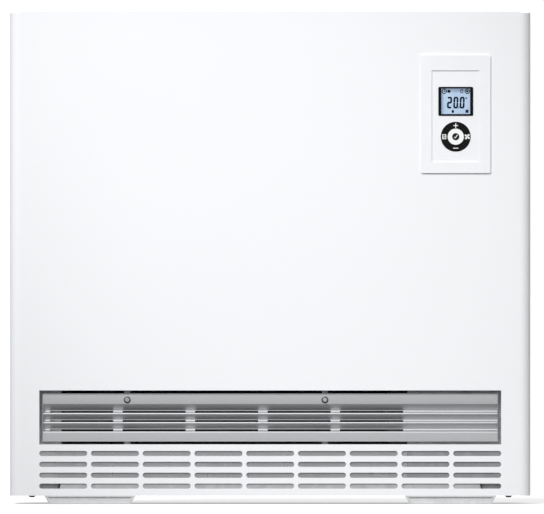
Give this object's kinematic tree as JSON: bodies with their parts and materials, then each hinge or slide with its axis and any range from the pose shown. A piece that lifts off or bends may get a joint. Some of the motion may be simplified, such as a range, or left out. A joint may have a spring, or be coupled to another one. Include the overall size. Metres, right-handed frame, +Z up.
{
  "type": "storage heater",
  "caption": "Floor-standing fan storage heater: white sheet casing, slotted air intake, louvred outlet grille, round-cornered control plate with display and ring keys.",
  "frame": {"origin": "on the floor, under the middle of the heater's bounding box", "axes": "+X to the right seen from the front, -Y towards the room (front), +Z up"},
  "size_m": [0.71, 0.25, 0.672],
  "materials": {
    "white_panel": "smooth white powder coat, semi-matt",
    "galvanised_sheet": "galvanised, fine spangle",
    "foot_steel": "galvanised, pressed",
    "screw_steel": "zinc plated",
    "grille_grey": "silver-grey metallic paint, satin",
    "shaft_steel": "ground",
    "wheel_aluminium": "mill finish",
    "bearing_plastic": "moulded",
    "filter_plastic": "moulded net",
    "stator_iron": "laminated stack",
    "coil_copper": "enamelled winding",
    "storage_brick": "fired magnesite",
    "element_steel": "heat-tinted tube",
    "insulation_board": "dusty mineral board",
    "terminal_plastic": "moulded",
    "controller_plastic": "moulded",
    "cutout_plastic": "phenolic moulding",
    "grommet_rubber": "matt",
    "control_white": "fine satin",
    "bezel_black": "gloss",
    "display_glass": "clear",
    "lcd_grey": "backlit blue-grey",
    "board_green": "solder resist",
    "key_black": "satin",
    "key_white": "satin"
  },
  "bodies": {
    "casing": {"front_panel": "white_panel", "left_side_panel": "white_panel", "right_side_panel": "white_panel", "top_cover": "white_panel", "rear_panel": "galvanised_sheet", "base_pan": "galvanised_sheet", "left_foot": "foot_steel", "right_foot": "foot_steel", "front_screws": "screw_steel", "rear_screws": "screw_steel", "outlet_grille": "grille_grey", "grille_screws": "screw_steel", "grille_frame": "galvanised_sheet", "outlet_duct": "galvanised_sheet", "flap_bushes": "bearing_plastic", "lint_filter": "filter_plastic", "fan_drawer": "galvanised_sheet", "left_fan_housing": "galvanised_sheet", "right_fan_housing": "galvanised_sheet", "fan_bearings": "bearing_plastic", "motor_stator": "stator_iron", "motor_coil": "coil_copper", "core_frame": "galvanised_sheet", "storage_bricks": "storage_brick", "heating_elements": "element_steel", "core_sensor": "shaft_steel", "base_insulation": "insulation_board", "front_insulation": "insulation_board", "rear_insulation": "insulation_board", "left_insulation": "insulation_board", "right_insulation": "insulation_board", "top_insulation": "insulation_board", "inner_cover": "galvanised_sheet", "partition": "galvanised_sheet", "bay_cover": "galvanised_sheet", "terminal_block": "terminal_plastic", "charge_controller": "controller_plastic", "safety_cutout": "cutout_plastic", "cable_grommet": "grommet_rubber", "control_plate": "control_white", "control_housing": "control_white", "control_screws": "screw_steel", "display_bezel": "bezel_black", "display_window": "display_glass", "lcd_module": "lcd_grey", "control_board": "board_green"},
    "fan_rotor": {"left_fan_wheel": "wheel_aluminium", "right_fan_wheel": "wheel_aluminium", "fan_shaft": "shaft_steel"},
    "flap": {"mixing_flap": "galvanised_sheet"},
    "plus_key": {"plus_key": "key_black"},
    "minus_key": {"minus_key": "key_black"},
    "mode_key": {"mode_key": "key_black"},
    "fan_key": {"fan_key": "key_black"},
    "ok_key": {"ok_key": "key_white"}
  },
  "joints": [
    {"name": "fan_spin", "type": "hinge", "parent": "casing", "child": "fan_rotor", "pos_m": [-0.058, 0.016, 0.0465], "axis": [1, 0, 0], "continuous": true},
    {"name": "flap_swing", "type": "hinge", "parent": "casing", "child": "flap", "pos_m": [0, -0.0277, 0.1511], "axis": [-1, 0, 0], "range_deg": [0, 55]},
    {"name": "plus_press", "type": "slide", "parent": "casing", "child": "plus_key", "axis": [0, 1, 0], "range_m": [0, 0.0007], "stiffness_N_per_m": 1500},
    {"name": "minus_press", "type": "slide", "parent": "casing", "child": "minus_key", "axis": [0, 1, 0], "range_m": [0, 0.0007], "stiffness_N_per_m": 1500},
    {"name": "mode_press", "type": "slide", "parent": "casing", "child": "mode_key", "axis": [0, 1, 0], "range_m": [0, 0.0007], "stiffness_N_per_m": 1500},
    {"name": "fan_press", "type": "slide", "parent": "casing", "child": "fan_key", "axis": [0, 1, 0], "range_m": [0, 0.0007], "stiffness_N_per_m": 1500},
    {"name": "ok_press", "type": "slide", "parent": "casing", "child": "ok_key", "axis": [0, 1, 0], "range_m": [0, 0.0007], "stiffness_N_per_m": 1500}
  ]
}
